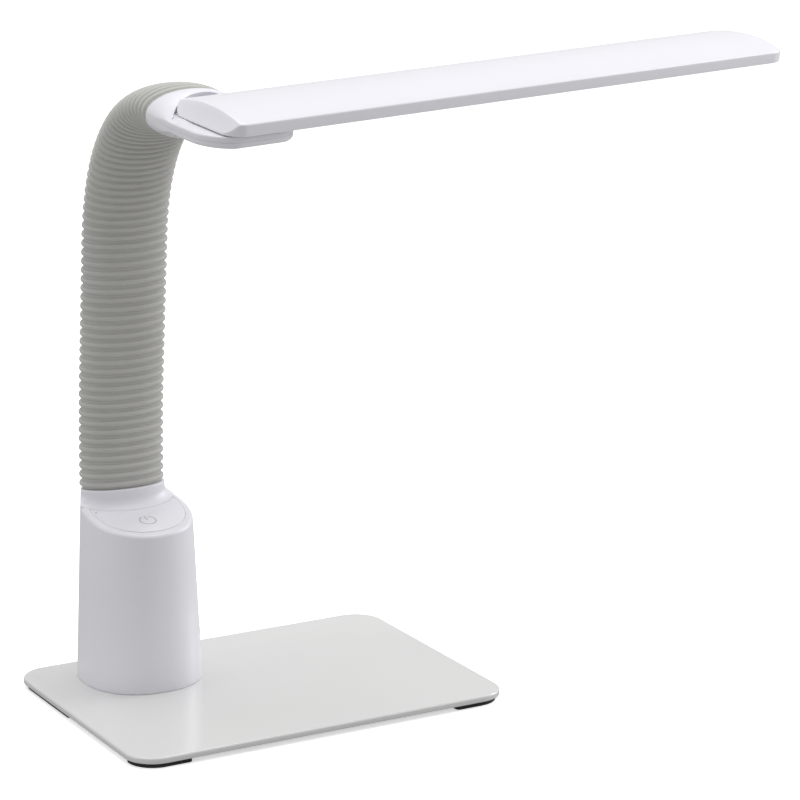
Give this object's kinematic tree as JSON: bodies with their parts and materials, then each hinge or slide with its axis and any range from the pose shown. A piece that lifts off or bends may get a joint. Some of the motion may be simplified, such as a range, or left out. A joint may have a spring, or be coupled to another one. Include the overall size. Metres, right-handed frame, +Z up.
{
  "type": "desk lamp",
  "caption": "Desk lamp with a rectangular base plate, an oval stem with a sloped touch panel, a ribbed flexible neck and a long flat light bar on a swivel.",
  "frame": {"origin": "middle of the base plate's footprint, on the table, level with the undersides of the four feet", "axes": "+X to the user's right along the plate's long side and roughly along the light bar, -Y towards the user, +Z up"},
  "size_m": [0.39, 0.1711, 0.3101],
  "materials": {
    "plate_white": "glossy powder coat",
    "housing_white": "smooth satin",
    "panel_white": "smooth",
    "icon_grey": "printed light grey",
    "foot_black": "matt",
    "sleeve_grey": "soft silicone, light warm grey",
    "lead_grey": "matt",
    "steel": "plain",
    "core_plastic": "moulded nylon",
    "board_green": "circuit board",
    "jack_black": "moulded",
    "diffuser_white": "opal",
    "board_white": "white solder mask on an aluminium core",
    "led_yellow": "phosphor",
    "spreader": "plain sheet"
  },
  "bodies": {
    "base": {"base_plate": "plate_white", "foot_front_left": "foot_black", "foot_front_right": "foot_black", "foot_rear_left": "foot_black", "foot_rear_right": "foot_black", "stem_housing": "housing_white", "control_panel": "panel_white", "power_icon": "icon_grey", "indicator_lens": "icon_grey", "touch_board": "board_green", "driver_board": "board_green", "dc_jack": "jack_black", "neck_post": "steel", "stem_screws": "steel", "neck_clamp": "steel", "neck_sleeve": "sleeve_grey", "neck_lead": "lead_grey"},
    "link_1": {"neck_link_1": "steel"},
    "link_2": {"neck_link_2": "steel"},
    "link_3": {"neck_link_3": "steel"},
    "link_4": {"neck_link_4": "steel"},
    "link_5": {"neck_link_5": "steel"},
    "link_6": {"neck_link_6": "steel"},
    "link_7": {"neck_link_7": "steel"},
    "link_8": {"neck_link_8": "steel"},
    "link_9": {"neck_link_9": "steel"},
    "link_10": {"neck_link_10": "steel"},
    "link_11": {"neck_link_11": "steel"},
    "bracket": {"neck_tip": "steel", "bracket_top": "housing_white", "bracket_bottom": "housing_white", "bracket_screws": "steel", "swivel_washer": "core_plastic"},
    "light_bar": {"swivel_pin": "steel", "retaining_nut": "steel", "spring_washer": "steel", "flange_screws": "steel", "head_top": "housing_white", "head_floor": "housing_white", "diffuser": "diffuser_white", "led_board": "board_white", "led_row": "led_yellow", "heat_spreader": "spreader"}
  },
  "joints": [
    {"name": "neck_lean", "type": "hinge", "parent": "base", "child": "link_1", "pos_m": [-0.0479, 0.05407, 0.1054], "axis": [0.9984, -0.0558, 0], "range_deg": [-8, 8], "deforming": ["neck_sleeve", "neck_lead"]},
    {"name": "neck_sway", "type": "hinge", "parent": "link_1", "child": "link_2", "pos_m": [-0.04794, 0.05344, 0.12648], "axis": [0.0557, 0.9972, 0.0508], "range_deg": [-8, 8]},
    {"name": "neck_lean_middle", "type": "hinge", "parent": "link_2", "child": "link_3", "pos_m": [-0.04802, 0.05194, 0.14752], "axis": [0.9984, -0.0558, 0], "range_deg": [-8, 8]},
    {"name": "neck_sway_middle", "type": "hinge", "parent": "link_3", "child": "link_4", "pos_m": [-0.04815, 0.04964, 0.16848], "axis": [0.0554, 0.9916, 0.1167], "range_deg": [-8, 8]},
    {"name": "neck_lean_upper", "type": "hinge", "parent": "link_4", "child": "link_5", "pos_m": [-0.04829, 0.04718, 0.18943], "axis": [0.9984, -0.0558, 0], "range_deg": [-8, 8]},
    {"name": "neck_sway_upper", "type": "hinge", "parent": "link_5", "child": "link_6", "pos_m": [-0.04842, 0.04472, 0.21037], "axis": [0.0554, 0.9916, 0.1167], "range_deg": [-8, 8]},
    {"name": "neck_bend_1", "type": "hinge", "parent": "link_6", "child": "link_7", "pos_m": [-0.04857, 0.04211, 0.2313], "axis": [0.9984, -0.0558, 0], "range_deg": [-8.86, 0.9]},
    {"name": "neck_bend_2", "type": "hinge", "parent": "link_7", "child": "link_8", "pos_m": [-0.04889, 0.03632, 0.25153], "axis": [0.9984, -0.0558, 0], "range_deg": [-13.92, 1.41]},
    {"name": "neck_bend_3", "type": "hinge", "parent": "link_8", "child": "link_9", "pos_m": [-0.04948, 0.02585, 0.26977], "axis": [0.9984, -0.0558, 0], "range_deg": [-15.22, 1.54]},
    {"name": "neck_bend_4", "type": "hinge", "parent": "link_9", "child": "link_10", "pos_m": [-0.05031, 0.01099, 0.28461], "axis": [0.9984, -0.0558, 0], "range_deg": [-16.08, 1.63]},
    {"name": "neck_bend_5", "type": "hinge", "parent": "link_10", "child": "link_11", "pos_m": [-0.05134, -0.00739, 0.29475], "axis": [0.9984, -0.0558, 0], "range_deg": [-16.76, 1.69]},
    {"name": "neck_bend", "type": "hinge", "parent": "link_11", "child": "bracket", "pos_m": [-0.05248, -0.02791, 0.29916], "axis": [0.9984, -0.0558, 0], "range_deg": [-20.11, 2.01]},
    {"name": "head_swivel", "type": "hinge", "parent": "bracket", "child": "light_bar", "pos_m": [-0.04776, -0.07257, 0.29424], "axis": [0.0289, -0.1361, 0.9903], "range_deg": [-150, 0]}
  ],
  "couplings": [
    {"joint": "neck_lean_middle", "follows": "neck_lean", "ratio": 1},
    {"joint": "neck_lean_upper", "follows": "neck_lean", "ratio": 1},
    {"joint": "neck_sway_middle", "follows": "neck_sway", "ratio": 1},
    {"joint": "neck_sway_upper", "follows": "neck_sway", "ratio": 1},
    {"joint": "neck_bend_1", "follows": "neck_bend", "ratio": 0.43975},
    {"joint": "neck_bend_2", "follows": "neck_bend", "ratio": 0.6913},
    {"joint": "neck_bend_3", "follows": "neck_bend", "ratio": 0.75582},
    {"joint": "neck_bend_4", "follows": "neck_bend", "ratio": 0.79854},
    {"joint": "neck_bend_5", "follows": "neck_bend", "ratio": 0.83215}
  ]
}
